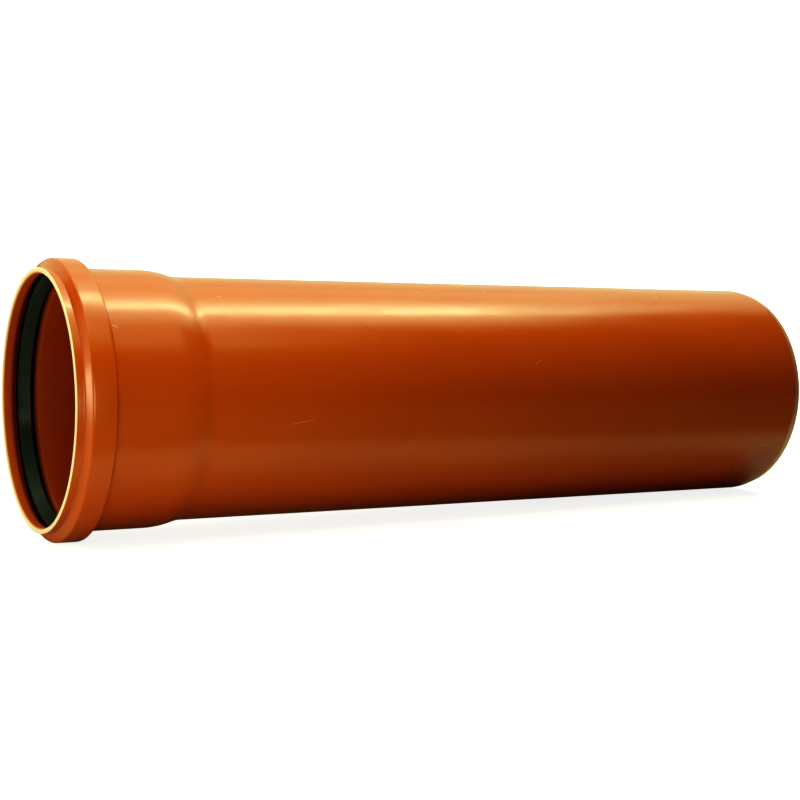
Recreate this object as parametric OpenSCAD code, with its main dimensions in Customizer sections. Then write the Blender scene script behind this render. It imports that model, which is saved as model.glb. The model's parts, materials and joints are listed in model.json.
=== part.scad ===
// Short length of socketed sewer pipe with the rubber lip seal in its socket, lying on its side.
// Every section is drawn as [radius, distance from the mouth] and turned about the pipe's axis.

/* [Barrel] */
// Outside diameter of the barrel and its spigot end
pipe_od = 160; // [110:1:250]
// Wall of the barrel
pipe_wall = 4; // [3:0.1:6]
// Length that one pipe adds to a line: all of it apart from the socket's depth
laying_length = 500; // [250:10:1000]
// Length of the chamfer on the spigot end, along the axis
chamfer_length = 7; // [3:0.5:8]
// Slope of the chamfer against the axis, in degrees
chamfer_angle = 15; // [8:1:17]

/* [Socket] */
// Depth of the socket, from the mouth to the shoulder
socket_depth = 74; // [60:1:120]
// Clearance on diameter round a spigot that enters the socket
socket_clearance = 0.6; // [0.3:0.1:1.5]
// Wall of the socket and of the collar at its mouth
socket_wall = 3.6; // [2.8:0.1:5]
// Slope of the shoulder between the socket and the barrel, in degrees
shoulder_slope = 17; // [14:1:30]
// Lead-in bevel inside the mouth
mouth_bevel = 1.2; // [0.5:0.1:2]
// Rounding of the mouth's outer edge
mouth_round = 0.8; // [0.3:0.1:1.5]

/* [Bead] */
// Length of the collar between the mouth and the bead
collar_length = 5; // [4:0.5:12]
// Length of the bead's front flank, along the axis
front_run = 3.5; // [2:0.5:8]
// Length of the bead's crest between its two edges
crest_length = 14.5; // [11:0.5:24]
// Length of the bead's rear flank, along the axis
rear_run = 2.5; // [1:0.5:6]
// Depth of the seal groove below the socket's inner wall
groove_depth = 6.6; // [5:0.1:9]
// Wall of the bead round the groove
bead_wall = 3.2; // [2.6:0.1:4]
// Rounding of the bead's crest edges
crest_round = 1.8; // [1:0.1:2.5]
// Rounding of the bead's feet outside and of the groove's floor inside
foot_round = 1; // [0.5:0.1:1.5]
// Rounding of the groove's two edges on the socket's inner wall
groove_round = 3; // [1:0.1:3.5]

/* [Seal] */
// Gap between the seal and the walls of its groove
seal_clearance = 0.2; // [0.1:0.05:0.4]
// Gap that shows between the groove's front wall and the seal's nose
nose_gap = 3.5; // [1:0.1:4]
// How far the nose lies below the socket's inner wall
nose_recess = 0.6; // [0.2:0.1:1]
// How far the heel lies below the socket's inner wall
heel_recess = 2.2; // [1.6:0.1:3]
// How far the lip reaches inside the socket's inner wall
lip_reach = 2.9; // [1.5:0.1:4]
// Length of the lip along the axis, from the nose to its tip
lip_run = 8; // [5:0.1:9]
// Thickness of the lip at its tip
lip_tip = 1.4; // [1.2:0.1:1.8]
// Thickness of the lip at its root
lip_root = 2.2; // [1.8:0.1:3]
// Distance along the lip's face from the nose to the root of the notch behind it
root_start = 3.2; // [2:0.1:4]

/* [Hidden] */
round_sides = 144;
arc_sides = 48;
overcut = 1;

// Radii of the barrel, the socket and the bead
pipe_r = pipe_od / 2;
bore_r = pipe_r - pipe_wall;
socket_bore_r = pipe_r + socket_clearance / 2;
socket_r = socket_bore_r + socket_wall;
groove_r = socket_bore_r + groove_depth;
crest_r = groove_r + bead_wall;
end_r = pipe_r - chamfer_length * tan(chamfer_angle);

// Stations along the axis, from the mouth
total_length = laying_length + socket_depth;
crest_start = collar_length + front_run;
crest_end = crest_start + crest_length;
bead_end = crest_end + rear_run;
chamfer_start = total_length - chamfer_length;
outer_shoulder = socket_depth + socket_wall * tan(shoulder_slope / 2);

// The groove's walls run beside the bead's flanks, one bead wall inside them
bead_rise = crest_r - socket_r;
front_shift = bead_wall * norm([front_run, bead_rise]) / bead_rise;
rear_shift = bead_wall * norm([rear_run, bead_rise]) / bead_rise;
function groove_front(r) = collar_length + front_shift + (r - socket_r) * front_run / bead_rise;
function groove_rear(r) = crest_end - rear_shift + (crest_r - r) * rear_run / bead_rise;

// Shares of the shoulder's slope that its convex and its concave bend take up
convex_share = 0.65;
concave_share = 0.3;

// The pipe rests on the bead and on the barrel's end, so its axis falls a little towards the spigot
tilt = atan((crest_r - pipe_r) / (chamfer_start - crest_end));
mouth_x = -(total_length * cos(tilt) + (end_r - socket_r) * sin(tilt)) / 2;
mouth_z = crest_end * sin(tilt) + crest_r * cos(tilt);

function unit(v) = v / norm(v);

// Seal section: a body that fills the groove, and a lip that leans inwards and back from its nose
seal_r = groove_r - seal_clearance;
nose_r = socket_bore_r + nose_recess;
nose = [nose_r, groove_front(nose_r) + nose_gap];
tip = [socket_bore_r - lip_reach, nose[1] + lip_run];
heel_r = socket_bore_r + heel_recess;
lip_along = unit(tip - nose);
lip_across = [lip_along[1], -lip_along[0]];
tip_back = tip + lip_across * lip_tip;
notch = nose + lip_along * root_start + lip_across * lip_root;
nose_round = 1;
rubber_round = 0.5;

// Rounding of a corner b between a and c: how far along each side it starts, and its centre
function half_angle(a, b, c) = acos(unit(a - b) * unit(c - b)) / 2;
function corner_start(a, b, c, radius) = b + unit(a - b) * radius / tan(half_angle(a, b, c));
function corner_centre(a, b, c, radius) =
    b + unit(unit(a - b) + unit(c - b)) * radius / sin(half_angle(a, b, c));

// Closed outline of [radius, station, rounding] corners.
// A rounding above zero rounds an outward corner, below zero it fills an inward one, and zero leaves it sharp.
module outline(corners) {
    count = len(corners);
    points = [for (corner = corners) [corner[0], corner[1]]];
    before = [for (i = [0 : count - 1]) points[(i + count - 1) % count]];
    after = [for (i = [0 : count - 1]) points[(i + 1) % count]];
    rounding = [for (corner = corners) corner[2]];
    cut = [
        for (i = [0 : count - 1])
            each rounding[i] == 0
                ? [points[i]]
                : [
                    corner_start(before[i], points[i], after[i], abs(rounding[i])),
                    corner_start(after[i], points[i], before[i], abs(rounding[i]))
                ]
    ];
    difference() {
        union() {
            polygon(cut);
            for (i = [0 : count - 1])
                if (rounding[i] > 0)
                    translate(corner_centre(before[i], points[i], after[i], rounding[i]))
                        circle(rounding[i], $fn = arc_sides);
        }
        for (i = [0 : count - 1])
            if (rounding[i] < 0)
                translate(corner_centre(before[i], points[i], after[i], -rounding[i]))
                    circle(-rounding[i], $fn = arc_sides);
    }
}

// The two corners of a shoulder that falls from one radius to another, with a bend at its top and its foot
function bend(share, drop) = share * drop / sin(shoulder_slope) / tan(shoulder_slope / 2);
function shoulder(from_r, to_r, station) = [
    [from_r, station, bend(convex_share, from_r - to_r)],
    [to_r, station + (from_r - to_r) / tan(shoulder_slope), -bend(concave_share, from_r - to_r)]
];

module pipe_outside() {
    outline([
        [0, 0, 0],
        [socket_r, 0, mouth_round],
        [socket_r, collar_length, -foot_round],
        [crest_r, crest_start, crest_round],
        [crest_r, crest_end, crest_round],
        [socket_r, bead_end, -foot_round],
        each shoulder(socket_r, pipe_r, outer_shoulder),
        [pipe_r, chamfer_start, 0],
        [end_r, total_length, 0],
        [0, total_length, 0]
    ]);
}

module pipe_inside() {
    outline([
        [0, -overcut, 0],
        [socket_bore_r + mouth_bevel + overcut, -overcut, 0],
        [socket_bore_r, mouth_bevel, 0],
        [socket_bore_r, groove_front(socket_bore_r), -groove_round],
        [groove_r, groove_front(groove_r), foot_round],
        [groove_r, groove_rear(groove_r), foot_round],
        [socket_bore_r, groove_rear(socket_bore_r), -groove_round],
        each shoulder(socket_bore_r, bore_r, socket_depth),
        [bore_r, total_length + overcut, 0],
        [0, total_length + overcut, 0]
    ]);
}

module seal_section() {
    outline([
        [each nose, nose_round],
        [seal_r, groove_front(seal_r) + seal_clearance, foot_round],
        [seal_r, groove_rear(seal_r) - seal_clearance, foot_round],
        [heel_r, groove_rear(heel_r) - seal_clearance, rubber_round],
        [each notch, -rubber_round],
        [each tip_back, rubber_round],
        [each tip, rubber_round]
    ]);
}

// Turns a section about the pipe's axis and lays it on the ground
module laid() {
    translate([mouth_x, 0, mouth_z])
        rotate([0, 90 + tilt, 0])
            rotate_extrude($fn = round_sides)
                children();
}

module pipe() {
    color("#c2581c")
        laid()
            difference() {
                pipe_outside();
                pipe_inside();
            }
}

module seal_ring() {
    color("#1b1f1e")
        laid()
            seal_section();
}

pipe();
seal_ring();
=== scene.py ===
# A short length of socketed sewer pipe with the lip seal in its socket, lying on a pale floor.
import json

import bpy
import numpy as np
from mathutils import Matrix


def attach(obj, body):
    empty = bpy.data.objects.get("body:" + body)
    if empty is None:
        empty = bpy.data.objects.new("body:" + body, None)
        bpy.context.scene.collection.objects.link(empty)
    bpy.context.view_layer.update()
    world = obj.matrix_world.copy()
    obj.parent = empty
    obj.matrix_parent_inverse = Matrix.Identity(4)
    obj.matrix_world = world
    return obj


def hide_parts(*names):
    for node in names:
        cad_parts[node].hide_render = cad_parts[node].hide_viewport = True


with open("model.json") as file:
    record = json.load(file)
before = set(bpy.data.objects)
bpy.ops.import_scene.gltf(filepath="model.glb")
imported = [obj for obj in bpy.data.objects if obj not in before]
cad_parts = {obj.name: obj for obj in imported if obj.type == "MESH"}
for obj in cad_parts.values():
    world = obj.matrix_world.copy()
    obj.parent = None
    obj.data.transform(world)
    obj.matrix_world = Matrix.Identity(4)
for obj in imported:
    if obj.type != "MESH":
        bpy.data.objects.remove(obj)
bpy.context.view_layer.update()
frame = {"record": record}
scene = bpy.context.scene
mounts = {mount["name"]: mount for mount in frame["record"]["mounts"]}

# The pipe's own line, from the record: the bore ends at the spigot's end, and the rim lies in the mouth.
bore = mounts["barrel_bore"]
along = np.array(bore["axis"])
spigotEnd = np.array(bore["pos_m"]) + along * bore["dims"]["length_mm"] / 2000  # half the bore, in metres
pipeLength = (spigotEnd - np.array(mounts["mouth_rim"]["pos_m"])) @ along * 1000  # mm
mouthCentre = spigotEnd - along * pipeLength / 1000
upward = np.array([-along[2], 0, along[0]])
sideways = np.cross(upward, along)
tilt = float(np.arctan2(-along[2], along[0]))
print("frame loaded, pipe length", round(pipeLength, 2), "mm, falls", round(np.degrees(tilt), 3), "degrees")


# Camera at the photo's viewing angle: heading from +Y towards +X, then down.
cameraView = {
    "place": (-0.5517, -0.9349, 0.1580),
    "headingDeg": 29.475,
    "downDeg": 4.06,
    "lensMm": 67.595,
    "sensorMm": 36,
}
cameraData = bpy.data.cameras.new("camera")
cameraData.sensor_width = cameraView["sensorMm"]
cameraData.lens = cameraView["lensMm"]
camera = bpy.data.objects.new("camera", cameraData)
camera.location = cameraView["place"]
camera.rotation_euler = np.radians([90 - cameraView["downDeg"], 0, -cameraView["headingDeg"]])
scene.collection.objects.link(camera)
scene.camera = camera


# sRGB hex to the linear colour that shaders take
def hexColour(text):
    channel = np.array([int(text[i:i + 2], 16) for i in (1, 3, 5)]) / 255
    linear = np.where(channel <= 0.04045, channel / 12.92, ((channel + 0.055) / 1.055) ** 2.4)
    return (*linear.tolist(), 1.0)


# One node with its settings and links. A key that isn't an input of the node is one of its properties.
# A Mix node's inputs go by number: 0 is the share of the second, 2 and 3 are numbers, 6 and 7 colours.
def addNode(tree, kind, settings, links={}):
    node = tree.nodes.new("ShaderNode" + kind)
    for key, value in settings.items():
        if isinstance(key, int) or key in node.inputs:
            node.inputs[key].default_value = value
        else:
            setattr(node, key, value)
    for key, socket in links.items():
        tree.links.new(socket, node.inputs[key])
    return node


def newMaterial(name):
    material = bpy.data.materials.new(name)
    material.use_nodes = True
    material.node_tree.nodes.clear()
    return material, material.node_tree


def unit(vectors):
    return vectors / np.linalg.norm(vectors, axis=-1, keepdims=True)


# Closed outline of [radius, station, rounding] corners, in mm. Each corner becomes an arc that touches its
# two sides: centre = corner + bisector * rounding / sin(half angle), and the arc turns from side to side.
def roundedOutline(corners, arcSteps, longestStep):
    corners = np.array(corners, float)
    point, rounding = corners[:, :2], corners[:, 2:]
    before = unit(np.roll(point, 1, 0) - point)
    after = unit(np.roll(point, -1, 0) - point)
    half = np.arccos(np.sum(before * after, 1, keepdims=True)) / 2
    centre = point + unit(before + after) * rounding / np.sin(half)
    reach = rounding / np.tan(half)
    fromSide = point + before * reach - centre
    toSide = point + after * reach - centre
    sweep = (np.pi - 2 * half)[:, :, None]
    share = np.linspace(0, 1, arcSteps)[None, :, None]
    arc = np.sin((1 - share) * sweep) * fromSide[:, None] + np.sin(share * sweep) * toSide[:, None]
    ring = (centre[:, None] + arc / np.sin(sweep)).reshape(-1, 2)
    # long straight stretches get points in between
    closed = np.vstack([ring, ring[:1]])
    walked = np.concatenate([[0], np.cumsum(np.linalg.norm(np.diff(closed, axis=0), axis=1))])
    steps = np.maximum(1, np.ceil(np.diff(walked) / longestStep)).astype(int)
    first = np.repeat(walked[:-1], steps)
    stride = np.repeat(np.diff(walked) / steps, steps)
    stepNumber = np.arange(steps.sum()) - np.repeat(np.cumsum(steps) - steps, steps)
    place = first + stepNumber * stride
    return np.column_stack([np.interp(place, walked, coordinate) for coordinate in closed.T])


# The outline carried once round the pipe's line: point = mouth + along * station
# + (upward * cos(turn) + sideways * sin(turn)) * (radius + swell(station, turn))
def turnedPiece(name, outline, sides, swell=None):
    turn = np.linspace(0, 2 * np.pi, sides, endpoint=False)[:, None]
    radius, station = outline[None, :, 0], outline[None, :, 1]
    spoke = np.cos(turn) * upward + np.sin(turn) * sideways
    radius = radius + (swell(station, turn) if swell else 0 * turn)
    place = mouthCentre + (station[..., None] * along + radius[..., None] * spoke[:, None]) / 1000
    number = np.arange(place.shape[0] * place.shape[1]).reshape(place.shape[:2])
    nextTurn = np.roll(number, -1, 0)
    quads = np.stack([number, np.roll(number, -1, 1), np.roll(nextTurn, -1, 1), nextTurn], -1)
    mesh = bpy.data.meshes.new(name)
    mesh.from_pydata(place.reshape(-1, 3), [], quads.reshape(-1, 4), shade_flat=False)
    mesh.validate()
    piece = bpy.data.objects.new(name, mesh)
    scene.collection.objects.link(piece)
    return piece


# a value for each point of the outline, the same all round the piece
def markOutline(piece, name, values, sides):
    mark = piece.data.attributes.new(name, "FLOAT", "POINT")
    mark.data.foreach_set("value", np.tile(values, sides).astype(np.float32))


# Pipe: barrel with a chamfered spigot, and a belled socket with a bead for the seal. Sizes in mm.
pipeShape = {
    "socketDepth": 74,
    "socketWall": 3.6,
    "shoulderSlopeDeg": 17,
    "convexShare": 0.65,
    "concaveShare": 0.3,
    "mouthBevel": 1.2,
    "mouthRound": 0.8,
    "collarLength": 5,
    "frontRun": 3.5,
    "crestLength": 14.5,
    "rearRun": 2.5,
    "grooveDepth": 6.6,
    "beadWall": 3.2,
    "crestRound": 1.8,
    "footRound": 1,
    "grooveRound": 3,
    "chamferLength": 7,
    "chamferDeg": 15,
    "edgeRound": 0.25,
    "swell": 0.07,
    "swellStart": 110,  # station where the waves start
    "swellGrow": 60,  # length over which they grow
    "swellFade": 40,  # and over which they die out before the chamfer
    "waves": [(31, 2, 0), (17, -3, 1.3), (53, -1, 0.4)],  # mm to a radian, times round the pipe, start
    "rimSawn": (0.4, 0.7),  # a sawn face is whole up to the first depth, and gone at the second
    "endSawn": (0.05, 0.15),
    "chamferSawn": 0.5,  # share
    "arcSteps": 9,
    "longestStep": 9,
    "sides": 288,
}
pipeR = mounts["spigot"]["dims"]["r_mm"]
boreR = bore["dims"]["r_mm"]
socketBoreR = mounts["socket_mouth"]["dims"]["r_mm"]
socketR = socketBoreR + pipeShape["socketWall"]
grooveR = socketBoreR + pipeShape["grooveDepth"]
crestR = grooveR + pipeShape["beadWall"]
crestStart = pipeShape["collarLength"] + pipeShape["frontRun"]
crestEnd = crestStart + pipeShape["crestLength"]
chamferStart = pipeLength - pipeShape["chamferLength"]
endR = pipeR - pipeShape["chamferLength"] * np.tan(np.radians(pipeShape["chamferDeg"]))
slope = np.radians(pipeShape["shoulderSlopeDeg"])
rise = crestR - socketR


# station of the groove's two walls at a radius: they run beside the bead's flanks, one bead wall inside them
def grooveFront(r):
    shift = pipeShape["beadWall"] * np.hypot(pipeShape["frontRun"], rise) / rise
    return pipeShape["collarLength"] + shift + (r - socketR) * pipeShape["frontRun"] / rise


def grooveRear(r):
    shift = pipeShape["beadWall"] * np.hypot(pipeShape["rearRun"], rise) / rise
    return crestEnd - shift + (crestR - r) * pipeShape["rearRun"] / rise


# two corners of a shoulder from one radius to another, with a long bend at its top and its foot
def shoulder(fromR, toR, station):
    drop = fromR - toR
    bend = drop / np.sin(slope) / np.tan(slope / 2)
    return [
        (fromR, station, pipeShape["convexShare"] * bend),
        (toR, station + drop / np.tan(slope), pipeShape["concaveShare"] * bend),
    ]


outside = [
    (socketR, 0, pipeShape["mouthRound"]),
    (socketR, pipeShape["collarLength"], pipeShape["footRound"]),
    (crestR, crestStart, pipeShape["crestRound"]),
    (crestR, crestEnd, pipeShape["crestRound"]),
    (socketR, crestEnd + pipeShape["rearRun"], pipeShape["footRound"]),
    *shoulder(socketR, pipeR, pipeShape["socketDepth"] + pipeShape["socketWall"] * np.tan(slope / 2)),
    (pipeR, chamferStart, pipeShape["edgeRound"]),
    (endR, pipeLength, pipeShape["edgeRound"]),
]
inside = [
    (socketBoreR + pipeShape["mouthBevel"], 0, pipeShape["edgeRound"]),
    (socketBoreR, pipeShape["mouthBevel"], pipeShape["edgeRound"]),
    (socketBoreR, grooveFront(socketBoreR), pipeShape["grooveRound"]),
    (grooveR, grooveFront(grooveR), pipeShape["footRound"]),
    (grooveR, grooveRear(grooveR), pipeShape["footRound"]),
    (socketBoreR, grooveRear(socketBoreR), pipeShape["grooveRound"]),
    *shoulder(socketBoreR, boreR, pipeShape["socketDepth"]),
    (boreR, pipeLength, pipeShape["edgeRound"]),
]


# Drawing the pipe leaves long shallow waves in the barrel, and none in the socket, which is formed over a
# mandrel. They die out towards the spigot, which lies on the floor.
# swell = height * growing * dying * mean of sin(station / wave length + times round * turn + start)
def barrelSwell(station, turn):
    growing = np.clip((station - pipeShape["swellStart"]) / pipeShape["swellGrow"], 0, 1)
    dying = np.clip((chamferStart - station) / pipeShape["swellFade"], 0, 1)
    waves = [np.sin(station / length + times * turn + start) for length, times, start in pipeShape["waves"]]
    return pipeShape["swell"] * growing * dying * np.mean(waves, axis=0)


pipeOutline = roundedOutline(outside + inside[::-1], pipeShape["arcSteps"], pipeShape["longestStep"])
pipePiece = turnedPiece("pipe_wall", pipeOutline, pipeShape["sides"], barrelSwell)
outlineR, outlineAt = pipeOutline.T
# sawn: the rim and the spigot's end face, where a blade has been, and less so the turned chamfer
onRim = np.interp(outlineAt, pipeShape["rimSawn"], (1, 0))
onEnd = np.interp(pipeLength - outlineAt, pipeShape["endSawn"], (1, 0))
onChamfer = np.interp(outlineAt, (chamferStart, pipeLength), (0, pipeShape["chamferSawn"]))
onChamfer = onChamfer * (outlineR > (boreR + endR) / 2)
markOutline(pipePiece, "sawn", np.maximum.reduce([onRim, onChamfer, onEnd]), pipeShape["sides"])
# handled: the outside, which the outline follows from the mouth to the spigot
markOutline(pipePiece, "handled", np.roll(outlineAt, -1) > outlineAt + 1e-6, pipeShape["sides"])
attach(pipePiece, "root")
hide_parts("pipe")
print("pipe:", len(pipePiece.data.polygons), "faces")


# Lip seal: a body in the groove, and a lip that leans inwards and back from its nose. Sizes in mm.
sealShape = {
    "clearance": 0.2,
    "noseGap": 3.5,
    "noseRecess": 0.6,
    "heelRecess": 2.2,
    "lipReach": 2.9,
    "lipRun": 8,
    "lipTip": 1.4,
    "lipRoot": 2.2,
    "rootStart": 3.2,
    "noseRound": 1,
    "rubberRound": 0.5,
    "arcSteps": 9,
    "longestStep": 1.5,
    "sides": 240,
}
sealR = grooveR - sealShape["clearance"]
noseR = socketBoreR + sealShape["noseRecess"]
heelR = socketBoreR + sealShape["heelRecess"]
nose = np.array([noseR, grooveFront(noseR) + sealShape["noseGap"]])
tip = np.array([socketBoreR - sealShape["lipReach"], nose[1] + sealShape["lipRun"]])
lipAlong = unit(tip - nose)
lipAcross = np.array([lipAlong[1], -lipAlong[0]])
tipBack = tip + lipAcross * sealShape["lipTip"]
notch = nose + lipAlong * sealShape["rootStart"] + lipAcross * sealShape["lipRoot"]
sealCorners = [
    (*nose, sealShape["noseRound"]),
    (sealR, grooveFront(sealR) + sealShape["clearance"], pipeShape["footRound"]),
    (sealR, grooveRear(sealR) - sealShape["clearance"], pipeShape["footRound"]),
    (heelR, grooveRear(heelR) - sealShape["clearance"], sealShape["rubberRound"]),
    (*notch, sealShape["rubberRound"]),
    (*tipBack, sealShape["rubberRound"]),
    (*tip, sealShape["rubberRound"]),
]
sealOutline = roundedOutline(sealCorners, sealShape["arcSteps"], sealShape["longestStep"])
sealPiece = turnedPiece("lip_seal", sealOutline, sealShape["sides"])
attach(sealPiece, "root")
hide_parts("seal_ring")
print("seal:", len(sealPiece.data.polygons), "faces")


# Object coordinates laid along the pipe: x from the mouth towards the spigot, in metres
def pipeCoordinates(tree):
    where = addNode(tree, "TexCoord", {})
    return addNode(
        tree,
        "Mapping",
        {"vector_type": "TEXTURE", "Location": mouthCentre.tolist(), "Rotation": (0, tilt, 0)},
        {"Vector": where.outputs["Object"]},
    ).outputs["Vector"]


# Noise whose grains are so many mm long along the pipe and so many mm wide across it
def pipeNoise(tree, laid, lengthMm, widthMm, detail=2.0, seed=0.0):
    stretched = addNode(
        tree,
        "Mapping",
        {"Location": (seed, seed, seed), "Scale": (1000 / lengthMm, 1000 / widthMm, 1000 / widthMm)},
        {"Vector": laid},
    )
    return addNode(
        tree,
        "TexNoise",
        {"Scale": 1.0, "Detail": detail, "Roughness": 0.5},
        {"Vector": stretched.outputs["Vector"]},
    ).outputs["Fac"]


# Noise in rings round the pipe's line, so many mm apart: it changes with radius plus station
def ringNoise(tree, laid, apartMm):
    part = addNode(tree, "SeparateXYZ", {}, {"Vector": laid}).outputs
    spoke = addNode(tree, "CombineXYZ", {}, {"Y": part["Y"], "Z": part["Z"]}).outputs["Vector"]
    radius = addNode(tree, "VectorMath", {"operation": "LENGTH"}, {0: spoke}).outputs["Value"]
    place = addNode(tree, "Math", {"operation": "ADD"}, {0: radius, 1: part["X"]}).outputs["Value"]
    return addNode(
        tree, "TexNoise", {"noise_dimensions": "1D", "Scale": 1000 / apartMm, "Detail": 2.0}, {"W": place}
    ).outputs["Fac"]


noiseLow = 0.3  # most of a noise's values lie between these two
noiseHigh = 0.7

# Extruded PVC-U in the orange-brown of sewer pipes: an even, slightly deep colour under a satin gloss, with
# fine lines along the pipe from the die, small flecks in the gloss, a few scratches, and grey rubs where it
# has been handled and dragged. The bore is duller. Sawn and turned faces are paler and matt, with the rings
# of the blade in them.
pvcFinish = {
    "colour": "#c85304",
    "deeper": "#bb4b04",
    "sawn": "#efc8ae",
    # the grey of the real rubs where the pipe has been handled
    "rubbed": "#8a5058",
    "ior": 1.54,
    "roughness": 0.24,
    "roughnessVaries": 0.03,
    "boreRoughness": 0.6,
    "fleckRoughness": 0.28,
    "wornRoughness": 0.55,
    "sawnRoughness": 0.62,
    # size of the patterns, along the pipe and across it
    "driftMm": (90, 45),  # pigment
    "dieLineMm": (260, 1.6),  # about 0.3 mm apart, drawn coarser to show
    "fleckMm": (11, 3),  # about 1 mm, drawn coarser to show
    "strokeMm": (16, 1),  # in the rubs
    "streakMm": (40, 9),  # in the gloss
    "sawRingMm": 0.7,  # about 0.4 mm apart, drawn coarser to show
    "dieLineDepthMm": 0.004,
    "fleckDepthMm": 0.004,
    "sawRingDepthMm": 0.06,
    "wornDepthMm": 0.04,
    "fleckNoise": (0.64, 0.8),  # a fleck starts at the first value of its noise, and is whole at the second
    "strokeNoise": (0.3, 0.75),
    "strokeShare": (0.15, 0.75),
    "rubSoftness": 0.2,  # a rub is whole up to here on the way from its middle to its edge
    "scratchSoftness": 0.3,
    "scratchShare": 0.7,
    "scratchWear": 0.12,
    # station, turn from the top (towards the back is positive), length along the pipe, width round it, share
    "rubs": [
        (558, -136, 84, 84, 1.0),
        (560, 176, 60, 50, 0.7),
        (16, 178, 26, 60, 0.6),
        (410, 118, 150, 46, 0.25),
    ],
    # station, turn, length, slant against the pipe, width, colour
    "scratches": [
        (202.6, -52.9, 15, -55, 1.1, "#8a3406"),
        (28.2, -54.6, 5, -28, 0.9, "#dca878"),
        (547.5, -119.2, 14, -9, 0.9, "#c99a78"),
        (331, -71, 9, 24, 0.7, "#c98a55"),
        (148, -98, 22, 8, 0.7, "#c98a55"),
        (402, 38, 26, -14, 0.8, "#c98a55"),
        (236, 96, 17, 33, 0.9, "#6b2a05"),
        (480, 141, 30, 5, 0.8, "#c98a55"),
        (16, 62, 7, 70, 0.8, "#dca878"),
    ],
}
pvc, tree = newMaterial("extruded PVC-U")
laid = pipeCoordinates(tree)
part = addNode(tree, "SeparateXYZ", {}, {"Vector": laid}).outputs
sawn = addNode(tree, "Attribute", {"attribute_name": "sawn"}).outputs["Fac"]
handled = addNode(tree, "Attribute", {"attribute_name": "handled"}).outputs["Fac"]

drift = pipeNoise(tree, laid, *pvcFinish["driftMm"])
dieLine = pipeNoise(tree, laid, *pvcFinish["dieLineMm"])
fleck = pipeNoise(tree, laid, *pvcFinish["fleckMm"], detail=3.0, seed=4.0)
fleckFrom, fleckTo = pvcFinish["fleckNoise"]
fleckMark = addNode(
    tree, "MapRange", {"From Min": fleckFrom, "From Max": fleckTo}, {"Value": fleck}
).outputs["Result"]
pvcColour = addNode(
    tree,
    "Mix",
    {"data_type": "RGBA", 6: hexColour(pvcFinish["colour"]), 7: hexColour(pvcFinish["deeper"])},
    {0: drift},
).outputs[2]

# rubs and scratches, on the surface rolled flat: x along the pipe and y round it
turnNow = addNode(tree, "Math", {"operation": "ARCTAN2"}, {0: part["Y"], 1: part["Z"]}).outputs["Value"]
roundNow = addNode(tree, "Math", {"operation": "MULTIPLY", 1: pipeR / 1000}, {0: turnNow}).outputs["Value"]
flat = addNode(tree, "CombineXYZ", {}, {"X": part["X"], "Y": roundNow}).outputs["Vector"]


# place within a mark, whose middle is 0 and whose ends and sides are 1
def withinMark(station, turnDeg, lengthMm, widthMm, slantDeg=0):
    return addNode(
        tree,
        "Mapping",
        {
            "vector_type": "TEXTURE",
            "Location": (station / 1000, np.radians(turnDeg) * pipeR / 1000, 0),
            "Rotation": (0, 0, np.radians(slantDeg)),
            "Scale": (lengthMm / 2000, widthMm / 2000, 1),  # half of each, in metres
        },
        {"Vector": flat},
    ).outputs["Vector"]


# a rub is a soft patch of fine strokes along the pipe
strokeFrom, strokeTo = pvcFinish["strokeNoise"]
leastStroke, mostStroke = pvcFinish["strokeShare"]
stroke = addNode(
    tree,
    "MapRange",
    {"From Min": strokeFrom, "From Max": strokeTo, "To Min": leastStroke, "To Max": mostStroke},
    {"Value": pipeNoise(tree, laid, *pvcFinish["strokeMm"], detail=3.0, seed=6.0)},
).outputs["Result"]
patch = None
for station, turnDeg, lengthMm, widthMm, share in pvcFinish["rubs"]:
    reach = withinMark(station, turnDeg, lengthMm, widthMm)
    away = addNode(tree, "VectorMath", {"operation": "LENGTH"}, {0: reach}).outputs["Value"]
    spot = addNode(
        tree,
        "MapRange",
        {
            "interpolation_type": "SMOOTHSTEP",
            "From Min": 1.0,
            "From Max": pvcFinish["rubSoftness"],
            "To Max": share,
        },
        {"Value": away},
    ).outputs["Result"]
    if patch:
        spot = addNode(tree, "Math", {"operation": "MAXIMUM"}, {0: spot, 1: patch}).outputs["Value"]
    patch = spot
patch = addNode(tree, "Math", {"operation": "MULTIPLY"}, {0: patch, 1: handled}).outputs["Value"]
worn = addNode(tree, "Math", {"operation": "MULTIPLY"}, {0: patch, 1: stroke}).outputs["Value"]
pvcColour = addNode(
    tree, "Mix", {"data_type": "RGBA", 7: hexColour(pvcFinish["rubbed"])}, {0: worn, 6: pvcColour}
).outputs[2]

# a scratch is a line that thins out towards its ends
for station, turnDeg, lengthMm, slantDeg, widthMm, tone in pvcFinish["scratches"]:
    reach = withinMark(station, turnDeg, lengthMm, widthMm, slantDeg)
    reach = addNode(tree, "VectorMath", {"operation": "ABSOLUTE"}, {0: reach}).outputs["Vector"]
    reach = addNode(tree, "SeparateXYZ", {}, {"Vector": reach}).outputs
    farther = addNode(tree, "Math", {"operation": "MAXIMUM"}, {0: reach["X"], 1: reach["Y"]}).outputs["Value"]
    line = addNode(
        tree,
        "MapRange",
        {"From Min": 1.0, "From Max": pvcFinish["scratchSoftness"], "To Max": pvcFinish["scratchShare"]},
        {"Value": farther},
    ).outputs["Result"]
    line = addNode(tree, "Math", {"operation": "MULTIPLY"}, {0: line, 1: handled}).outputs["Value"]
    pvcColour = addNode(
        tree, "Mix", {"data_type": "RGBA", 7: hexColour(tone)}, {0: line, 6: pvcColour}
    ).outputs[2]
    dulled = addNode(
        tree, "Math", {"operation": "MULTIPLY", 1: pvcFinish["scratchWear"]}, {0: line}
    ).outputs["Value"]
    worn = addNode(tree, "Math", {"operation": "MAXIMUM"}, {0: worn, 1: dulled}).outputs["Value"]

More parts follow.
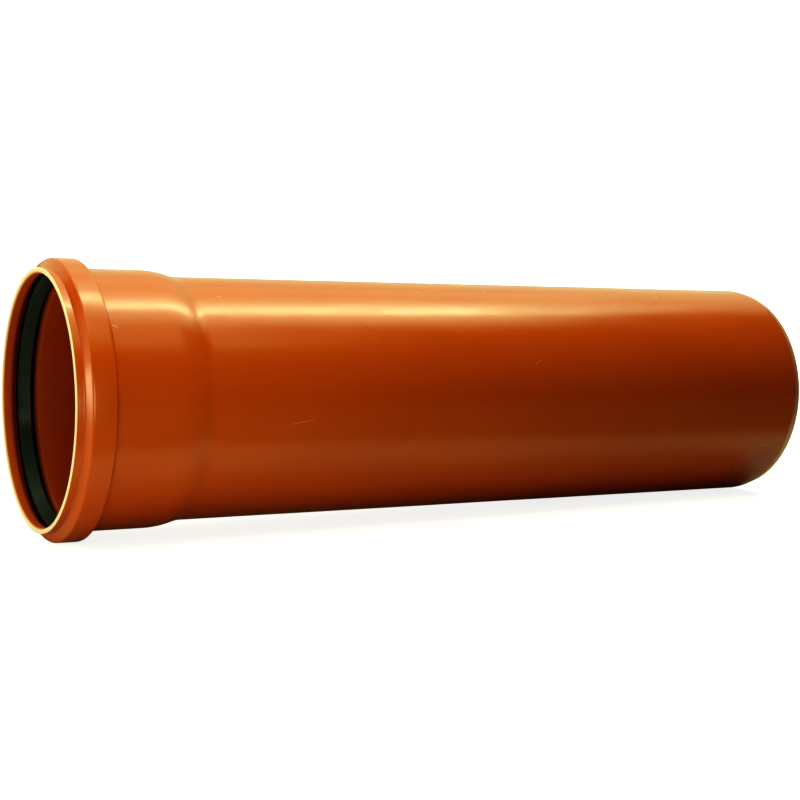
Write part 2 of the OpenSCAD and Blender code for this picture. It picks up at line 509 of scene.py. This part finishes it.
# rings of the blade on sawn faces
ring = ringNoise(tree, laid, pvcFinish["sawRingMm"])
sawRing = addNode(tree, "Math", {"operation": "MULTIPLY"}, {0: ring, 1: sawn}).outputs["Value"]
pvcColour = addNode(
    tree, "Mix", {"data_type": "RGBA", 7: hexColour(pvcFinish["sawn"])}, {0: sawn, 6: pvcColour}
).outputs[2]

# the gloss varies a little in soft streaks along the pipe, and flecks, the bore, wear and the saw change it
gloss = addNode(
    tree,
    "MapRange",
    {
        "From Min": noiseLow,
        "From Max": noiseHigh,
        "To Min": pvcFinish["roughness"] - pvcFinish["roughnessVaries"],
        "To Max": pvcFinish["roughness"] + pvcFinish["roughnessVaries"],
    },
    {"Value": pipeNoise(tree, laid, *pvcFinish["streakMm"], detail=1.0, seed=9.0)},
).outputs["Result"]
for share, roughness, ownInput, otherInput in (
    (fleckMark, "fleckRoughness", 3, 2),
    (handled, "boreRoughness", 2, 3),  # the other way round: where the pipe isn't handled
    (worn, "wornRoughness", 3, 2),
    (sawn, "sawnRoughness", 3, 2),
):
    gloss = addNode(
        tree, "Mix", {"data_type": "FLOAT", ownInput: pvcFinish[roughness]}, {0: share, otherInput: gloss}
    ).outputs[0]

# relief, each on top of the one before. Worn places are sunk.
relief = {}
for height, depthMm, sunk in (
    (dieLine, pvcFinish["dieLineDepthMm"], False),
    (fleck, pvcFinish["fleckDepthMm"], False),
    (sawRing, pvcFinish["sawRingDepthMm"], False),
    (worn, pvcFinish["wornDepthMm"], True),
):
    bump = addNode(tree, "Bump", {"Distance": depthMm / 1000, "invert": sunk}, {"Height": height, **relief})
    relief = {"Normal": bump.outputs["Normal"]}
pvcShader = addNode(
    tree,
    "BsdfPrincipled",
    {"IOR": pvcFinish["ior"]},
    {"Base Color": pvcColour, "Roughness": gloss, **relief},
)
addNode(tree, "OutputMaterial", {}, {"Surface": pvcShader.outputs["BSDF"]})
pipePiece.data.materials.append(pvc)


# Moulded rubber: near black and dull, with a fine grain, the mould's turning rings, a grey bloom in patches,
# where wax has come to the surface, and a painted highlight on the lip, a paler grey on the rings' tops.
rubberFinish = {
    "colour": "#09090b",
    "bloom": "#131516",
    # painted highlight on the lip: a paler grey standing in for a lamp's reflection, with its turn and width
    "rubbed": "#524c49",
    "rubbedTurnDeg": 102,
    "rubbedWidthDeg": 12,
    "ior": 1.52,
    "roughness": 0.38,
    "bloomRoughness": 0.54,
    "bloomMm": (9, 14),  # along the pipe and across it
    "grainMm": (0.9, 0.9),  # about 0.2 mm, drawn coarser to show
    "ringMm": 1.1,  # turning rings are about 0.3 mm apart, drawn coarser to show
    "grainDepthMm": 0.03,
    "ringDepthMm": 0.06,
}
rubber, tree = newMaterial("moulded rubber")
laid = pipeCoordinates(tree)
bloom = pipeNoise(tree, laid, *rubberFinish["bloomMm"], detail=3.0)
grain = pipeNoise(tree, laid, *rubberFinish["grainMm"])
ring = ringNoise(tree, laid, rubberFinish["ringMm"])
rubberColour = addNode(
    tree,
    "Mix",
    {"data_type": "RGBA", 6: hexColour(rubberFinish["colour"]), 7: hexColour(rubberFinish["bloom"])},
    {0: bloom},
).outputs[2]
# painted highlight: paler grey on the rings' tops at one turn from the top, in place of a lamp's reflection
part = addNode(tree, "SeparateXYZ", {}, {"Vector": laid}).outputs
turnNow = addNode(tree, "Math", {"operation": "ARCTAN2"}, {0: part["Y"], 1: part["Z"]}).outputs["Value"]
away = addNode(
    tree, "Math", {"operation": "SUBTRACT", 1: np.radians(rubberFinish["rubbedTurnDeg"])}, {0: turnNow}
).outputs["Value"]
away = addNode(tree, "Math", {"operation": "ABSOLUTE"}, {0: away}).outputs["Value"]
halfWidth = np.radians(rubberFinish["rubbedWidthDeg"]) / 2
spot = addNode(
    tree,
    "MapRange",
    {"interpolation_type": "SMOOTHSTEP", "From Min": halfWidth, "From Max": 0.0},
    {"Value": away},
).outputs["Result"]
spot = addNode(tree, "Math", {"operation": "MULTIPLY"}, {0: spot, 1: ring}).outputs["Value"]
rubberColour = addNode(
    tree, "Mix", {"data_type": "RGBA", 7: hexColour(rubberFinish["rubbed"])}, {0: spot, 6: rubberColour}
).outputs[2]
rubberGloss = addNode(
    tree,
    "MapRange",
    {
        "From Min": noiseLow,
        "From Max": noiseHigh,
        "To Min": rubberFinish["roughness"],
        "To Max": rubberFinish["bloomRoughness"],
    },
    {"Value": bloom},
).outputs["Result"]
relief = {}
for height, depthMm in ((grain, rubberFinish["grainDepthMm"]), (ring, rubberFinish["ringDepthMm"])):
    bump = addNode(tree, "Bump", {"Distance": depthMm / 1000}, {"Height": height, **relief})
    relief = {"Normal": bump.outputs["Normal"]}
rubberShader = addNode(
    tree,
    "BsdfPrincipled",
    {"IOR": rubberFinish["ior"]},
    {"Base Color": rubberColour, "Roughness": rubberGloss, **relief},
)
addNode(tree, "OutputMaterial", {}, {"Surface": rubberShader.outputs["BSDF"]})
sealPiece.data.materials.append(rubber)
print("materials made")


# Pale floor that runs out into a white surround: seen directly it is nearly white with a soft shadow round
# the pipe, and what it throws back onto the pipe is that of a pale board under it on a plain grey floor.
stageSet = {
    "floorSize": 30.0,
    "boardTone": "#dcd3d2",
    "floorTone": "#807979",
    "seenPaint": (0.9, 0.9, 0.9, 1.0),  # linear
    "boardFront": 0.138,
    "boardEdge": 0.012,
    "boardSkew": 0.067,
    "shadowShare": 0.5,
    "shadowReach": (0.55, 1.3),
    "surround": 0.046,
}
white = (1, 1, 1, 1)
half = stageSet["floorSize"] / 2
floorMesh = bpy.data.meshes.new("floor")
floorMesh.from_pydata(
    [(-half, -half, 0), (half, -half, 0), (half, half, 0), (-half, half, 0)], [], [(0, 1, 2, 3)]
)
floor = bpy.data.objects.new("floor", floorMesh)
scene.collection.objects.link(floor)
floorMaterial, tree = newMaterial("matt floor paint")
seenDirectly = addNode(tree, "LightPath", {}).outputs["Is Camera Ray"]
floorPlace = addNode(tree, "TexCoord", {}).outputs["Object"]
fromPipe = addNode(tree, "VectorMath", {"operation": "LENGTH"}, {0: floorPlace}).outputs["Value"]
nearPipe = addNode(
    tree,
    "MapRange",
    {
        "interpolation_type": "SMOOTHSTEP",
        "From Min": stageSet["shadowReach"][0],
        "From Max": stageSet["shadowReach"][1],
        "To Min": stageSet["shadowShare"],
        "To Max": 0.0,
    },
    {"Value": fromPipe},
).outputs["Result"]
paintShare = addNode(tree, "Mix", {"data_type": "FLOAT", 2: 1.0}, {0: seenDirectly, 3: nearPipe}).outputs[0]
boardPlace = addNode(
    tree, "VectorMath", {"operation": "DOT_PRODUCT", 1: (-stageSet["boardSkew"], 1, 0)}, {0: floorPlace}
).outputs["Value"]
onBoard = addNode(
    tree,
    "MapRange",
    {
        "From Min": -stageSet["boardFront"] - stageSet["boardEdge"],
        "From Max": -stageSet["boardFront"] + stageSet["boardEdge"],
    },
    {"Value": boardPlace},
).outputs["Result"]
floorColour = addNode(
    tree,
    "Mix",
    {"data_type": "RGBA", 6: hexColour(stageSet["floorTone"]), 7: hexColour(stageSet["boardTone"])},
    {0: onBoard},
).outputs[2]
floorColour = addNode(
    tree, "Mix", {"data_type": "RGBA", 7: stageSet["seenPaint"]}, {0: seenDirectly, 6: floorColour}
).outputs[2]
paint = addNode(tree, "BsdfDiffuse", {}, {"Color": floorColour})
glow = addNode(tree, "Emission", {"Color": white, "Strength": 1.0})
floorShader = addNode(
    tree, "MixShader", {}, {0: paintShare, 1: glow.outputs["Emission"], 2: paint.outputs["BSDF"]}
)
addNode(tree, "OutputMaterial", {}, {"Surface": floorShader.outputs["Shader"]})
floorMesh.materials.append(floorMaterial)

world = bpy.data.worlds.new("studio")
world.use_nodes = True
scene.world = world
tree = world.node_tree
tree.nodes.clear()
seenDirectly = addNode(tree, "LightPath", {}).outputs["Is Camera Ray"]
surround = addNode(
    tree, "Mix", {"data_type": "FLOAT", 2: stageSet["surround"], 3: 1.0}, {0: seenDirectly}
).outputs[0]
sky = addNode(tree, "Background", {"Color": white}, {"Strength": surround})
addNode(tree, "OutputWorld", {}, {"Surface": sky.outputs["Background"]})


# Soft boxes: place, point they face, width and height in metres, turn about the upright in degrees, watts,
# colour. The light from above is the slightly green white of tubes, and that from the left a purer white.
tubeWhite = "#dbffcb"
leftWhite = "#eeffd4"
softBoxes = {
    "tube": ((0.2, -0.012, 1.46), (0.2, -0.012, 0), (1.5, 0.06), 9, 5.6, tubeWhite),
    "tube end": ((1.06, 0.124, 1.46), (1.06, 0.124, 0), (0.24, 0.06), 9, 0.45, tubeWhite),
    "back shade": ((0.18, 0.106, 1.46), (0.18, 0.106, 0), (1.5, 0.16), 9, 3.3, tubeWhite),
    "front shade": ((0.24, -0.2, 1.44), (0.24, -0.2, 0), (1.6, 0.38), 4, 4.0, tubeWhite),
    "ceiling": ((0.025, 0.351, 1.497), (0.025, 0, 0.09), (2.75, 0.24), 0, 4.2, tubeWhite),
    "ceiling end": ((1.975, 0.4, 1.49), (1.975, 0, 0.09), (1.15, 0.24), 12, 0.45, tubeWhite),
    "high back": ((0.025, 0.8, 1.476), (0.025, 0, 0.09), (2.75, 0.68), 0, 6.8, tubeWhite),
    "back end": ((1.975, 0.8, 1.476), (1.975, 0, 0.09), (1.15, 0.68), 0, 1.9, tubeWhite),
    "low back": ((0.6, 1.472, 0.94), (0.6, 0, 0.09), (3.9, 1.1), 0, 9.8, tubeWhite),
    "left": ((-1.383, 0.316, 0.17), (-0.28, 0, 0.09), (0.44, 0.28), 0, 3.3, leftWhite),
    "left high": ((-1.25, -0.1, 0.85), (-0.28, 0, 0.09), (0.6, 0.6), 0, 1.4, leftWhite),
    "left wide": ((-1.5, 0.1, 0.4), (-0.28, 0, 0.09), (1.4, 0.7), 0, 1.8, leftWhite),
    "front left": ((-0.36, -0.5, 1.02), (-0.1, 0, 0.09), (0.5, 0.5), 0, 1.9, tubeWhite),
    "front right": ((0.099, -0.548, 1.023), (-0.1, 0, 0.09), (0.5, 0.5), 0, 0.79, tubeWhite),
    "low front": ((-0.38, -0.52, 0.12), (-0.24, 0, 0.09), (0.36, 0.2), 0, 1.0, tubeWhite),
}


# Turns an object's -Z towards a point, with its X level
def facingTurn(place, target):
    away = np.subtract(place, target)
    level = np.hypot(away[0], away[1])
    heading = np.arctan2(away[0], -away[1]) if level else 0.0
    return (np.arctan2(level, away[2]), 0.0, heading)


for boxName, (place, facing, boxSize, turnDeg, watts, tone) in softBoxes.items():
    lightData = bpy.data.lights.new(boxName, "AREA")
    lightData.shape = "RECTANGLE"
    lightData.size, lightData.size_y = boxSize
    lightData.energy = watts
    lightData.color = hexColour(tone)[:3]
    light = bpy.data.objects.new(boxName, lightData)
    light.location = place
    light.rotation_euler = facingTurn(place, facing)
    light.rotation_euler.z += np.radians(turnDeg)
    light.visible_camera = False
    scene.collection.objects.link(light)
scene.view_settings.view_transform = "Standard"
scene.view_settings.look = "Very High Contrast"  # the photo has deep shadows and clipped whites
print("stage and lights set")
